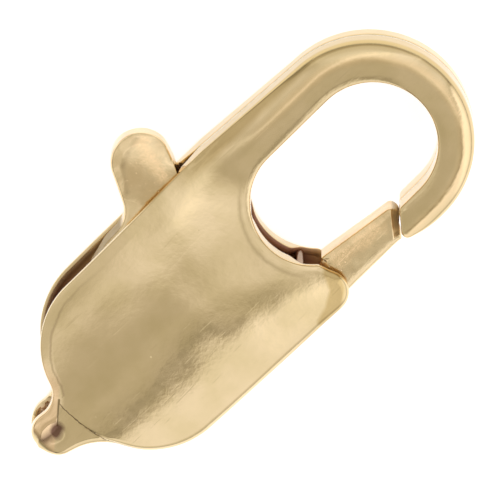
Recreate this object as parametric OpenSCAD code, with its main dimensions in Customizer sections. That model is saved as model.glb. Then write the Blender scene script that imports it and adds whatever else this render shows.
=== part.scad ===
// Lobster clasp of soldered gold sheet, lying on its back.
// X runs from the tail eye to the hook, Y toward the thumb tab and Z out of the front.
// Plan shapes are drawn round the centre of the mouth's arc, at half the clasp's thickness.

/* [Plates] */
// Width across the front and back plates
body_w = 9.45; // [9.2:0.05:9.7]
// Length of the plates from the tail shoulders to the deepest point of the mouth
body_len = 11.45; // [10.9:0.05:11.8]
// How far the plates' centre line lies toward the thumb tab from the mouth's
body_shift = 0.42; // [0.36:0.02:0.5]
// Radius of the two rounded shoulders at the tail
shoulder_r = 3.9; // [3.6:0.05:4.1]
// How much the closed side draws in from the mouth to the tail
belly_taper = 0.35; // [0.2:0.05:0.45]
// Thickness of the sheet
sheet = 0.3; // [0.26:0.01:0.32]
// Outer distance between the two plates beside the spine and at the lip
edge_h = 2.4; // [2.35:0.05:2.6]
// Outer distance between the plates' long edges, level with the top of the domes
plate_edge_h = 3.3; // [3.1:0.05:3.4]
// Thickness of the clasp at the top of its two domes
dome_h = 4.5; // [4.3:0.1:4.8]
// Distance from the mouth's deepest point back to the top of the domes
dome_back = 6.5; // [6:0.1:6.8]
// Radius of the dome along the clasp, from its top to the tail
dome_tail_r = 18; // [16:0.5:22]
// Radius of the dome along the clasp, from its top to the mouth
dome_mouth_r = 42; // [38:1:50]

/* [Mouth and side openings] */
// Radius of the lip's rounded corner beside the gate
lip_r = 1.05; // [0.9:0.05:1.15]
// Direction, from that corner's centre, in which the lip's corner turns toward the mouth
lip_lean = 32; // [28:1:36]
// How far the lip reaches ahead of the mouth's deepest point
lip_reach = 1.24; // [1.2:0.02:1.44]
// Direction from the mouth's centre in which the lip leaves the mouth's arc
lip_turn = 228; // [226:1:230]
// How far the tab's side slot runs ahead of the mouth's deepest point
slot_reach = 0.88; // [0.8:0.04:1.2]
// Direction from the mouth's centre in which the open mouth starts
mouth_start = 144; // [140:1:148]
// How far the closed side wall ends behind the mouth's deepest point
side_end = 0.82; // [0.74:0.02:0.9]

/* [Hook] */
// Width of the opening that the hook bends round
opening_w = 5.7; // [5.6:0.05:5.8]
// Length of that opening
opening_len = 9.35; // [9.2:0.05:9.8]
// Width of the band along the spine
arm_w = 1.95; // [1.85:0.05:2.1]
// Width of the band at the end of the bend
bend_w = 1.7; // [1.55:0.05:1.8]
// Width of the band on the tip's side
tip_w = 1.65; // [1.55:0.05:1.75]
// Thickness of the hook along the middle of its band
hook_h = 2.9; // [2.75:0.05:3.1]
// Distance from the mouth's deepest point to the hook's tip
gate_span = 4.46; // [4.3:0.04:4.7]
// Angle of the tip's face from the clasp's long axis
tip_angle = 50; // [46:1:54]

/* [Tail eye] */
// Thickness of the tail
tail_h = 3; // [2.8:0.1:3.2]
// Width of the tail
tail_w = 2.1; // [2:0.05:2.3]
// Radius of the eye that the jump ring goes through, across the clasp
eye_r = 0.85; // [0.7:0.05:0.9]
// Metal between the eye and the end of the tail
eye_wall = 0.42; // [0.38:0.02:0.5]
// How far the eye's centre lies behind the tail shoulders
eye_back = 1.05; // [0.95:0.05:1.15]
// How far the tail's middle lies toward the tab from the plates' centre line
tail_shift = 0.3; // [0.3:0.02:0.46]
// Radius of the hollow between the tail and the shoulder on the closed side
low_hollow_r = 2.6; // [2:0.1:3]
// Radius of the hollow between the tail and the shoulder on the tab's side
top_hollow_r = 1.1; // [0.9:0.1:1.4]
// Radius of the keyhole in the tail's faces
keyhole_r = 0.27; // [0.2:0.01:0.32]
// Width of the slit that runs from the keyhole to the dome
slit_w = 0.1; // [0.08:0.01:0.14]
// How far the slit's far end lies off the tail's middle
slit_side = 0.85; // [0.7:0.05:0.9]

/* [Lever] */
// Thickness of the lever
lever_t = 1.7; // [1.5:0.02:1.72]
// Gap in plan between the lever and what it moves past
lever_gap = 0.1; // [0.08:0.01:0.14]
// Width of the gate where it leaves the mouth
gate_root_w = 1.9; // [1.8:0.02:2]
// Width of the gate just behind its rounded tip
gate_tip_w = 1.4; // [1.3:0.02:1.5]
// Radius of the gate's inner tip corner
gate_tip_r = 0.38; // [0.3:0.02:0.45]
// Gap between the gate's end and the hook's tip
tip_gap = 0.07; // [0.05:0.01:0.12]
// Length of the step that is cut into both faces at the gate's end
step_len = 0.36; // [0.3:0.02:0.45]
// Thickness that is left at that step
step_t = 1; // [0.8:0.05:1.2]
// Radius of the thumb tab's knob
tab_r = 1.36; // [1.3:0.02:1.44]
// How far the knob's centre stands off the plates' edge
tab_rise = 1.4; // [1.36:0.02:1.6]
// How far the knob's centre lies behind the pivot
tab_back = 0.86; // [0.8:0.02:1]
// Angle of the knob's flank on the tail side from the clasp's long axis
tab_lean = 63; // [58:1:68]
// Radius of the hollow between the knob and the fin
fin_r = 2.3; // [2:0.1:2.6]
// Distance from the pivot to the end of the fin that runs along the side slot
fin_len = 5.8; // [5.4:0.1:6]
// Drop of the fin's end below the plates' edge
fin_drop = 0.35; // [0.25:0.05:0.5]
// Width of the fin's end
fin_end_w = 0.8; // [0.6:0.1:1.2]

/* [Pivot pin and stop post] */
// Radius of the pivot pin
pin_r = 0.4; // [0.3:0.02:0.45]
// Running clearance round the pivot pin
pin_clear = 0.05; // [0.03:0.01:0.08]
// Distance from the pivot to the mouth's deepest point, along the clasp
pivot_back = 0.52; // [0.44:0.02:0.6]
// Distance from the pivot to the gate's outer edge
pivot_in = 0.95; // [0.9:0.01:1]
// Gap between the lever and the closed side wall below the pivot
root_gap = 0.06; // [0.05:0.01:0.1]
// Radius of the stop post
post_r = 0.22; // [0.18:0.01:0.24]
// Metal between the stop post and the mouth's edge
post_in = 0.1; // [0.08:0.01:0.16]
// Direction of the stop post from the mouth's centre
post_turn = 212; // [210:0.5:214]
// Depth that the pin's and the post's ends sit in each plate
seat = 0.15; // [0.1:0.01:0.18]
// Gap round the ends of the pin and the post
seat_gap = 0.01; // [0.01:0.005:0.02]
// Greatest angle that the lever turns
swing = 22; // [18:1:24]

/* [Hidden] */
$fn = 96;
eps = 0.01;
far = 20;
gold = [0.82, 0.71, 0.5];
pale_gold = [0.86, 0.76, 0.57];
steel = [0.6, 0.58, 0.55];

// Mouth and body
mouth_r = opening_w / 2;
mouth_x = -mouth_r;
top_y = body_shift + body_w / 2;
low_y = body_shift - body_w / 2;
tail_x = mouth_x - body_len;
shoulder_x = tail_x + shoulder_r;
shoulder_ys = [low_y + belly_taper + shoulder_r, top_y - shoulder_r];
lip_x = mouth_x + lip_reach;
slot_x = mouth_x + slot_reach;
side_x = mouth_x - side_end;

// Domes, as barrels turned round an axis that runs along the clasp
dome_x = mouth_x - dome_back;
crown = (dome_h - plate_edge_h) / 2;
barrel_r = (pow(body_w / 2, 2) + pow(crown, 2)) / (2 * crown);
barrel_z = barrel_r - dome_h / 2;

// Hook
bend_x = opening_len - opening_w;
band_half = (arm_w + tip_w) / 4;
ring_r = mouth_r + band_half;
hook_r = mouth_r + 2 * band_half;
hook_x = bend_x + bend_w - 2 * band_half;
hook_y = (arm_w - tip_w) / 2;
hook_crown = (hook_h - edge_h) / 2;
band_r = (pow(band_half, 2) + pow(hook_crown, 2)) / (2 * hook_crown);
tip_x = mouth_x + gate_span;
tip_y = -ring_r;

// Tail eye
eye_x = tail_x - eye_back;
eye_y = body_shift + tail_shift;
tail_end_r = eye_r + eye_wall;
nub = [eye_x - tail_end_r + tail_w / 2, eye_y];
hollow_rs = [low_hollow_r, top_hollow_r];
keyhole_x = eye_x - eye_r / 2;
slit_end = [tail_x - 2 * slit_w, eye_y + slit_side];

// Pivot, post and lever
gate_low_y = low_y + sheet;
pivot = [mouth_x - pivot_back, gate_low_y + pivot_in];
post = (mouth_r + post_in + post_r) * [cos(post_turn), sin(post_turn)];
post_d = norm(post - pivot);
post_dir = atan2(post.y - pivot.y, post.x - pivot.x);
post_clear = asin((post_r + lever_gap) / post_d);
root_r = pivot_in - root_gap;
tab = [pivot.x - tab_back, top_y + tab_rise];
fin_end = [pivot.x - fin_len, top_y - fin_drop];
gate_end_x = tip_x - tip_gap / sin(tip_angle);

// Whole clasp
x_mid = (eye_x - tail_end_r + hook_x + hook_r) / 2;
y_mid = (min(low_y, hook_y - hook_r) + tab.y + tab_r) / 2;

// Half thickness of the plates at a point of the plan, ahead of the domes' top
function plate_z(p) =
    let (r = barrel_r - dome_mouth_r + sqrt(pow(dome_mouth_r, 2) - pow(p.x - dome_x, 2)))
    max(edge_h / 2, sqrt(r * r - pow(p.y - body_shift, 2)) - barrel_z);

// Centre of a circle of radius r that touches two circles from outside
function touching(c1, r1, c2, r2, r, side) =
    let (d = norm(c2 - c1), a = r1 + r, b = r2 + r)
    let (t = (a * a - b * b + d * d) / (2 * d), h = sqrt(a * a - t * t), u = (c2 - c1) / d)
    c1 + t * u + side * h * [-u.y, u.x];

// Moves the plan shapes to the clasp's own origin, under its middle
module placed() {
    translate([-x_mid, -y_mid, dome_h / 2]) children();
}

// Gives a plan shape a thickness, half of it on each side of the clasp's middle
module slab(h) {
    translate([0, 0, -h / 2]) linear_extrude(h) children();
}

// Outline of the plates from the tail shoulders to the lip, drawn in by an inset
module plate_plan(inset = 0) {
    r = shoulder_r - inset;
    lip_c = [lip_x - lip_r, low_y + lip_r];
    for (y = shoulder_ys)
        translate([shoulder_x, y]) circle(r);
    polygon([
        [shoulder_x - r, shoulder_ys[0]], [shoulder_x, low_y + belly_taper + inset],
        [lip_c.x, low_y + inset], [lip_c.x, top_y - inset], [shoulder_x, top_y - inset],
        [shoulder_x - r, shoulder_ys[1]]
    ]);
    translate(lip_c) circle(lip_r - inset);
    polygon([
        lip_c, lip_c + lip_r * [cos(lip_lean), sin(lip_lean)],
        mouth_r * [cos(lip_turn), sin(lip_turn)], [lip_c.x, 0]
    ]);
}

// Outline of the tail, with a hollow on each side where it leaves the shoulders
module tail_plan() {
    r = tail_w / 2;
    translate(nub) circle(r);
    for (side = [0, 1]) {
        s = [shoulder_x, shoulder_ys[side]];
        f = touching(s, shoulder_r, nub, r, hollow_rs[side], side == 1 ? -1 : 1);
        difference() {
            polygon([nub, f, s, [shoulder_x, eye_y]]);
            translate(f) circle(hollow_rs[side]);
        }
    }
}

// Outline of the spine and the hook, before the opening is cut out
module hook_plan() {
    polygon([
        [side_x, top_y], [side_x, mouth_r / 2], [hook_x, mouth_r / 2], [hook_x, hook_y + hook_r],
        [slot_x, top_y]
    ]);
    difference() {
        translate([hook_x, hook_y]) circle(hook_r);
        polygon([
            [mouth_x, -mouth_r / 2], [tip_x + (ring_r - mouth_r / 2) / tan(tip_angle), -mouth_r / 2],
            [tip_x, tip_y], [tip_x, -far], [mouth_x, -far]
        ]);
    }
}

// The opening that the gate closes
module opening_plan() {
    for (x = [0, bend_x])
        translate([x, 0]) circle(mouth_r);
    translate([0, -mouth_r]) square([bend_x, opening_w]);
}

// Barrel whose skin is the dome, drawn in by an inset
module barrel(inset = 0) {
    r = barrel_r - inset;
    translate([dome_x, body_shift, -barrel_z]) rotate([0, 90, 0]) rotate_extrude($fn = 180) {
        intersection() {
            translate([barrel_r - dome_tail_r, 0]) circle(dome_tail_r - inset, $fn = 180);
            translate([0, -far / 2]) square([r + eps, far / 2]);
        }
        intersection() {
            translate([barrel_r - dome_mouth_r, 0]) circle(dome_mouth_r - inset, $fn = 180);
            square([r + eps, far / 2]);
        }
    }
}

// Flat layer between the plates' edges together with both domes, drawn in by an inset
module plate_stack(inset = 0) {
    cube([2 * far, 2 * far, edge_h - 2 * inset], center = true);
    intersection() {
        barrel(inset);
        mirror([0, 0, 1]) barrel(inset);
        cube([2 * far, 2 * far, 2 * dome_h], center = true);
    }
}

// Rounded bar that crowns the band on both faces, from x0 to the bend at a given y
module band_bar(x0, y) {
    intersection_for (side = [-1, 1])
        translate([x0, y, side * (hook_h / 2 - band_r)]) rotate([0, 90, 0]) cylinder(r = band_r, h = bend_x - x0);
}

// The same crown turned round the bend
module band_ring() {
    translate([bend_x, 0, 0]) rotate([0, 0, -90]) rotate_extrude(angle = 180)
        translate([ring_r, 0])
            intersection_for (side = [-1, 1])
                translate([0, side * (hook_h / 2 - band_r)]) circle(band_r);
}

// Space between the plates, open at the tab's side, at the mouth and beside the gate
module cavity_plan() {
    difference() {
        union() {
            plate_plan(sheet);
            translate([shoulder_x, 0]) square([slot_x - shoulder_x + sheet, far]);
            translate([tail_x - top_hollow_r / 2, eye_y + tail_w / 2]) square(far - top_y);
            polygon([
                [side_x, -far], [lip_x + lip_r, -far], [lip_x + lip_r, -tip_w], [shoulder_x, -tip_w],
                [side_x, gate_low_y + sheet]
            ]);
        }
        polygon([
            [slot_x, 2 * far], [slot_x, top_y - sheet],
            (mouth_r - sheet) * [cos(mouth_start), sin(mouth_start)], [far, 0], [far, 2 * far]
        ]);
    }
}

// Sockets for the two ends of a round pin at a point of the plan
module seats(p, r) {
    translate([p.x, p.y, 0]) cylinder(r = r + seat_gap, h = 2 * (plate_z(p) - sheet + seat), center = true);
}

// Pin between the plates with its ends in those sockets
module seated_pin(p, r) {
    translate([p.x, p.y, 0])
        cylinder(r = r, h = 2 * (plate_z(p) - sheet + seat - seat_gap), center = true);
}

// Tail with a rounded end
module tail_block() {
    intersection() {
        slab(tail_h) tail_plan();
        union() {
            translate([eye_x, eye_y, 0]) rotate([90, 0, 0]) cylinder(r = tail_h / 2, h = far, center = true);
            translate([eye_x, -far, -far]) cube([far, 2 * far, 2 * far]);
        }
    }
}

// Keyhole and its slit
module keyhole_plan() {
    translate([keyhole_x, eye_y]) circle(keyhole_r);
    polygon([
        [keyhole_x, eye_y - slit_w / 2], [keyhole_x, eye_y + slit_w], slit_end + [0, slit_w / 2],
        slit_end - [0, slit_w / 2]
    ]);
}

// Front and back plates with the closed side wall and the tail, hollow inside
module plates() {
    difference() {
        union() {
            intersection() {
                slab(2 * dome_h) plate_plan();
                plate_stack();
            }
            tail_block();
        }
        intersection() {
            slab(2 * dome_h) cavity_plan();
            plate_stack(sheet);
        }
    }
}

// Spine and hook, solid beyond the plates
module hook() {
    difference() {
        intersection() {
            slab(2 * dome_h) hook_plan();
            union() {
                cube([2 * far, 2 * far, edge_h], center = true);
                band_bar(side_x, ring_r);
                band_bar(mouth_x, -ring_r);
                band_ring();
            }
        }
        slab(edge_h - 2 * sheet) cavity_plan();
    }
}

module body() {
    color(gold) placed() difference() {
        union() {
            plates();
            hook();
        }
        slab(2 * dome_h) opening_plan();
        translate([eye_x, eye_y, 0]) rotate([90, 0, 0]) cylinder(r = eye_r, h = 2 * tail_w, center = true);
        slab(2 * dome_h) keyhole_plan();
        seats(pivot, pin_r);
        seats(post, post_r);
    }
}

// Gate arm in plan, from the pivot to its slanted end
module gate_plan() {
    tip_in_y = gate_low_y + gate_tip_w;
    c_y = tip_in_y - gate_tip_r;
    c = [gate_end_x + (c_y - tip_y) / tan(tip_angle) - gate_tip_r / sin(tip_angle), c_y];
    polygon([
        [pivot.x, gate_low_y], [gate_end_x + (gate_low_y - tip_y) / tan(tip_angle), gate_low_y],
        c + gate_tip_r * [sin(tip_angle), -cos(tip_angle)], c, [c.x, tip_in_y],
        [lip_x, gate_low_y + gate_root_w], [pivot.x, gate_low_y + gate_root_w],
        [pivot.x - root_r / 2, pivot.y]
    ]);
    translate(c) circle(gate_tip_r);
}

// Strip along the gate's end, where both faces are stepped down
module step_plan() {
    translate([gate_end_x, tip_y]) rotate(tip_angle)
        translate([-gate_root_w, -step_len]) square([2 * gate_root_w, 2 * step_len]);
}

// Neck of the thumb tab and the wide plate that turns between the body's plates
module neck_plan() {
    lean = [cos(tab_lean), sin(tab_lean)];
    left = tab + tab_r * [-lean.y, lean.x];
    corner = left - (left.y - top_y) / lean.y * lean;
    reach = fin_r * tan(tab_lean / 2);
    f = [corner.x - reach, top_y + fin_r];
    difference() {
        polygon([
            tab, [tab.x + tab_r - lever_gap, tab.y], [pivot.x - lever_gap / 2, top_y],
            [pivot.x - lever_gap / 2, pivot.y + root_r], [pivot.x + root_r / 2, pivot.y],
            [pivot.x - root_r, pivot.y + root_r / 2], [fin_end.x, fin_end.y - fin_end_w], fin_end,
            [f.x, top_y], f, corner + reach * lean, left
        ]);
        translate(f) circle(fin_r);
    }
}

// Room in the lever's plan for the stop post over the whole swing
module post_window() {
    low = post_dir - post_clear - swing;
    high = post_dir + post_clear;
    reach = 2 * (post_d + post_r);
    translate(pivot) intersection() {
        polygon([for (a = [0, 0.5, 1]) reach * [cos(low + a * (high - low)), sin(low + a * (high - low))], [0, 0]]);
        difference() {
            circle(post_d + post_r + lever_gap);
            circle(post_d - post_r - lever_gap);
        }
    }
}

module lever() {
    color(pale_gold) placed() difference() {
        union() {
            slab(lever_t) gate_plan();
            slab(lever_t) neck_plan();
            translate([tab.x, tab.y, 0]) cylinder(r = tab_r, h = lever_t, center = true);
            translate([pivot.x, pivot.y, 0]) cylinder(r = root_r, h = lever_t, center = true);
        }
        slab(2 * lever_t) post_window();
        for (side = [0, 1])
            mirror([0, 0, side]) translate([0, 0, step_t / 2]) linear_extrude(lever_t) step_plan();
        translate([pivot.x, pivot.y, 0]) cylinder(r = pin_r + pin_clear, h = 2 * lever_t, center = true);
    }
}

module pivot_pin() {
    color(steel) placed() seated_pin(pivot, pin_r);
}

module stop_post() {
    color(gold) placed() seated_pin(post, post_r);
}

body();
lever();
pivot_pin();
stop_post();
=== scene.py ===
import bmesh
import bpy
import numpy as np
from mathutils import Matrix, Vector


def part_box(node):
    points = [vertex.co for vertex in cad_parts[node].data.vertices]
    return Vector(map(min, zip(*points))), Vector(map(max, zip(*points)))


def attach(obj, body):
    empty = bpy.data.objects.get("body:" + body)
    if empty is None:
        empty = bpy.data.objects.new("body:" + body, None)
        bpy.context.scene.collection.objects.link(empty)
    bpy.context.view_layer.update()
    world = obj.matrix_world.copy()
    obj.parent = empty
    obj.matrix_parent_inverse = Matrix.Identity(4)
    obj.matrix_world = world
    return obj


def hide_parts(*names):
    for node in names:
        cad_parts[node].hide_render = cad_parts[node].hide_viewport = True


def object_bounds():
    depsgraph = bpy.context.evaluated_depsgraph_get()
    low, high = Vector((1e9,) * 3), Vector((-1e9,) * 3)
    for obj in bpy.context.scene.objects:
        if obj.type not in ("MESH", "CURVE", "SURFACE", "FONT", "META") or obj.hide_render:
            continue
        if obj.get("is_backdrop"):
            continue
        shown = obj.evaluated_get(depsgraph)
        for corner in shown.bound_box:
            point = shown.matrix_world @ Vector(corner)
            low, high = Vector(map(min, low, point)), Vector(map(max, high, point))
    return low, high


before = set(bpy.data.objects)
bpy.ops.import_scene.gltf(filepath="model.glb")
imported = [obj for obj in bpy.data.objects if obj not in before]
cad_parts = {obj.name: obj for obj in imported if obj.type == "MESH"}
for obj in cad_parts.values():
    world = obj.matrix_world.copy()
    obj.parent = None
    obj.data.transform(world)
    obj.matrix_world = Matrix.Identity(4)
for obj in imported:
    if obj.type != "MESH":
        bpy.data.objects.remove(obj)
sizeAtLoad = [list(corner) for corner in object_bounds()]
print("frame loaded")

# Plan coordinates are in millimetres from the centre of the mouth's arc, on the clasp's middle plane
plan = {"hookEnd": 8.2, "plateTop": 5.145}
bodyLow, bodyHigh = (np.array(corner) * 1000 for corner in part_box("body"))
shift = np.array([bodyHigh[0] - plan["hookEnd"], bodyHigh[1] - plan["plateTop"], (bodyLow[2] + bodyHigh[2]) / 2])


def arc(centre, radius, start, end, count=60):
    # centre + radius * (cos a, sin a), a from start to end in degrees
    turn = np.radians(np.linspace(start, end, count))
    return np.array(centre) + radius * np.stack([np.cos(turn), np.sin(turn)], 1)


def joined(*runs):
    # lines and points end to end, without repeats
    points = np.vstack([np.atleast_2d(run) for run in runs])
    keep = np.r_[True, np.linalg.norm(np.diff(points, axis=0), axis=1) > 1e-6]
    return points[keep]


def resampled(points, count, spread=None):
    # the same line, with count points at even steps of its length, or at the given fractions of it
    along = np.r_[0, np.cumsum(np.linalg.norm(np.diff(points, axis=0), axis=1))]
    at = (np.linspace(0, 1, count) if spread is None else spread) * along[-1]
    return np.stack([np.interp(at, along, points[:, axis]) for axis in (0, 1)], 1)


def softened(points, passes=2):
    # each inner point moves half way to the middle of its neighbours
    points = points.copy()
    for _ in range(passes):
        points[1:-1] = 0.5 * points[1:-1] + 0.25 * (points[:-2] + points[2:])
    return points


def inward(points, side):
    # unit normals of a line, to its left for side 1 and to its right for side -1
    along = np.gradient(points, axis=0)
    along /= np.linalg.norm(along, axis=1, keepdims=True) + 1e-12
    return side * np.stack([-along[:, 1], along[:, 0]], 1)


def smoothMax(a, b, soft):
    # the larger of a and b, with the crease between them rounded over the width soft
    near = np.clip(0.5 + 0.5 * (a - b) / soft, 0, 1)
    return b + (a - b) * near + soft * near * (1 - near)


def step(value, start, end):
    # 0 before start, 1 after end and a smooth rise between
    t = np.clip((value - start) / (end - start), 0, 1)
    return t * t * (3 - 2 * t)


def touching(c1, r1, c2, r2, r, side):
    # centre of the circle of radius r that touches two circles from outside
    c1, c2 = np.array(c1), np.array(c2)
    d = np.linalg.norm(c2 - c1)
    a, b = r1 + r, r2 + r
    t = (a * a - b * b + d * d) / (2 * d)
    u = (c2 - c1) / d
    return c1 + t * u + side * np.sqrt(a * a - t * t) * np.array([-u[1], u[0]])


def angle(centre, point):
    # direction from centre to point, in degrees
    return np.degrees(np.arctan2(point[1] - centre[1], point[0] - centre[0]))


def roundFall(away, r):
    # fall of an edge's round of radius r, at a distance from the edge: r - sqrt(r^2 - (r - away)^2)
    return r - np.sqrt(np.maximum(r ** 2 - np.clip(r - away, 0, r) ** 2, 0))


def matched(runs, starts=None, spread=None):
    # two lines with the same stations, from runs of (left line, right line, count); spread is for the last run
    sides = []
    for side in (0, 1):
        parts = [np.atleast_2d(starts[side] if starts else runs[0][side][0])]
        for run in runs:
            parts.append(resampled(np.array(run[side]), run[2], spread if run is runs[-1] else None)[1:])
        sides.append(np.vstack(parts))
    return sides


def piece(name, grid, body, nodes, ends=(True, True), marks=None):
    # a tube of stations x loop points, closed round the loop, in metres in the shared frame; flat fans close its ends
    rows, cols = grid.shape[:2]
    points = grid.reshape(-1, 3)
    i, j = np.meshgrid(np.arange(rows - 1), np.arange(cols), indexing="ij")
    k = (j + 1) % cols
    quads = np.stack([i * cols + j, i * cols + k, (i + 1) * cols + k, (i + 1) * cols + j], -1)
    faces = quads.reshape(-1, 4).tolist()
    middles = []
    for at, wanted in zip((0, rows - 1), ends):
        if wanted:
            ring = at * cols + np.arange(cols)
            pair = (np.roll(ring, -1), ring) if at == 0 else (ring, np.roll(ring, -1))
            faces += np.stack([np.full(cols, len(points) + len(middles)), *pair], 1).tolist()
            middles.append(grid[at].mean(axis=0))
    mesh = bpy.data.meshes.new(name)
    mesh.from_pydata(((np.vstack([points, *middles]) + shift) / 1000).tolist(), [], faces)
    for markName, values in (marks or {}).items():
        flat = np.r_[values.reshape(-1), np.zeros(len(middles))]
        mesh.attributes.new(markName, "FLOAT", "POINT").data.foreach_set("value", flat.astype(np.float32))
    return finished(name, mesh, body, nodes)


def finished(name, mesh, body, nodes):
    # welds the mesh, turns its faces outward, and gives it its body and the nodes that it stands for
    work = bmesh.new()
    work.from_mesh(mesh)
    bmesh.ops.remove_doubles(work, verts=work.verts, dist=2e-8)
    bmesh.ops.dissolve_degenerate(work, edges=work.edges, dist=2e-8)
    bmesh.ops.recalc_face_normals(work, faces=work.faces)
    loose = sum(1 for edge in work.edges if len(edge.link_faces) != 2)
    print(name, len(work.faces), "faces", loose, "open or shared edges")
    work.to_mesh(mesh)
    work.free()
    mesh.polygons.foreach_set("use_smooth", np.ones(len(mesh.polygons), dtype=bool))
    thing = bpy.data.objects.new(name, mesh)
    bpy.context.scene.collection.objects.link(thing)
    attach(thing, body)
    for nodeName in nodes:
        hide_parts(nodeName)
    return thing


# Body: each half is a pressed shell. Its outline runs from the tail's nub to the hook's tip on two sides,
# and the front is drawn across between them. Lengths are in millimetres and turns in degrees
bodySize = {
    # outline: mouth, lip, hook, tip, shoulders and tail, and the stations along the straight top
    "mouthR": 2.85, "bendX": 3.65, "top": 5.145, "low": -4.305, "lipR": 1.05, "lipX": -1.61, "lipLean": 32,
    "lipTurn": 228, "rootTurn": 144, "rootX": -1.97, "hookX": 3.55, "hookY": 0.15, "hookR": 4.65, "tipX": 1.61,
    "tipY": -3.75, "tipInX": 2.365, "tipCorner": 0.3, "shoulderR": 3.9, "shoulderX": -10.4, "shoulderTop": 1.245,
    "shoulderLow": -0.055, "nubX": -15.57, "nubY": 0.72, "nubR": 1.05, "lowHollowR": 2.6, "topHollowR": 1.1,
    "stations": (-10.4, -7.6, -6.7, -6.3, -3.2),
    # dome, its foot's circle and the tail behind it
    "edgeHalf": 1.2, "domeX": -9.35, "domeY": 0.42, "barrelR": 18.905, "barrelZ": 16.655, "tailBow": 18.0,
    "mouthBow": 42.0, "drift": 0.85, "driftX": -8.5, "driftRun": 6, "driftY": (0.5, 4.5), "footX": -8.3,
    "footY": 1.0, "footR": (6.07, 6.23), "tailHalf": 1.5, "tailX": (-13.8, -13.3), "eyeX": -15.35, "eyeR": 0.85,
    # hook's crown
    "hookHalf": 1.45, "ringR": 3.75, "bandR": 1.745, "bandX": (-6.0, 1.5), "crownShift": 0.1,
    "crownSlope": 0.625, "crownSoft": 0.06, "crownLift": 0.245, "crownHalf": 1.2, "endR": 0.09,
    # sheet and openings: where the slot, the hollow, the flank's bevel and the closed side's open end start
    "sheet": 0.3, "slotX": -14.85, "hollowX": -14.0, "flankX": -13.7, "sideEnd": -3.67, "turnedIn": 0.55,
    "openTuck": 0.03, "closedTuck": 0.025, "wallFoot": 0.04,
}


def hookBand(x, y):
    # height of the hook's crown: a circle of radius bandR across the band, turned round the bend, and flatter inside
    s = bodySize
    ring = np.where(x > s["bendX"], np.hypot(x - s["bendX"], y), np.abs(y))
    past = ring - s["ringR"] + s["crownShift"]
    bent = np.sqrt(past ** 2 + s["crownSoft"]) - s["crownLift"]
    off = np.clip(s["crownSlope"] * past + (1 - s["crownSlope"]) * bent, -s["crownHalf"], s["crownHalf"])
    return np.sqrt(s["bandR"] ** 2 - off ** 2) - s["bandR"] + s["hookHalf"]


def frontHeight(x, y):
    # the dome is a barrel: sqrt((R0 - B + sqrt(B^2 - dx^2))^2 - dy^2) - z0, with a bow B for each end
    s = bodySize
    dx = x - s["domeX"]
    bow = np.where(dx < 0, s["tailBow"], s["mouthBow"])
    radius = s["barrelR"] - bow + np.sqrt(np.maximum(bow ** 2 - dx ** 2, 1))
    # its axis drifts toward the lip on the way to the mouth
    drift = s["drift"] * np.clip((x - s["driftX"]) / s["driftRun"], 0, 1.1) ** 1.6
    axis = s["domeY"] - drift * (1 - step(y, *s["driftY"]))
    dome = np.sqrt(np.maximum(radius ** 2 - (y - axis) ** 2, 1)) - s["barrelZ"]
    dome = np.where(x > -1, np.minimum(dome, s["edgeHalf"]), dome)
    dome = smoothMax(dome, np.full_like(dome, s["edgeHalf"] - 0.02), 0.1)
    # the hook's crown rises from the plate's edge, and the tail is a round over the eye past the dome's foot
    band = s["edgeHalf"] - 0.1 + (hookBand(x, y) - s["edgeHalf"] + 0.1) * step(x, *s["bandX"])
    plate = smoothMax(dome, band, 0.35 - 0.3 * step(x, -1, 2))
    past = np.clip(s["eyeX"] - x, 0, s["tailHalf"] - 0.05)
    tail = np.sqrt(s["tailHalf"] ** 2 - past ** 2) - 0.04
    foot = np.hypot(x - s["footX"], y - s["footY"])
    return plate + (tail - plate) * step(foot, *s["footR"]) * (1 - step(x, *s["tailX"]))


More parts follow.
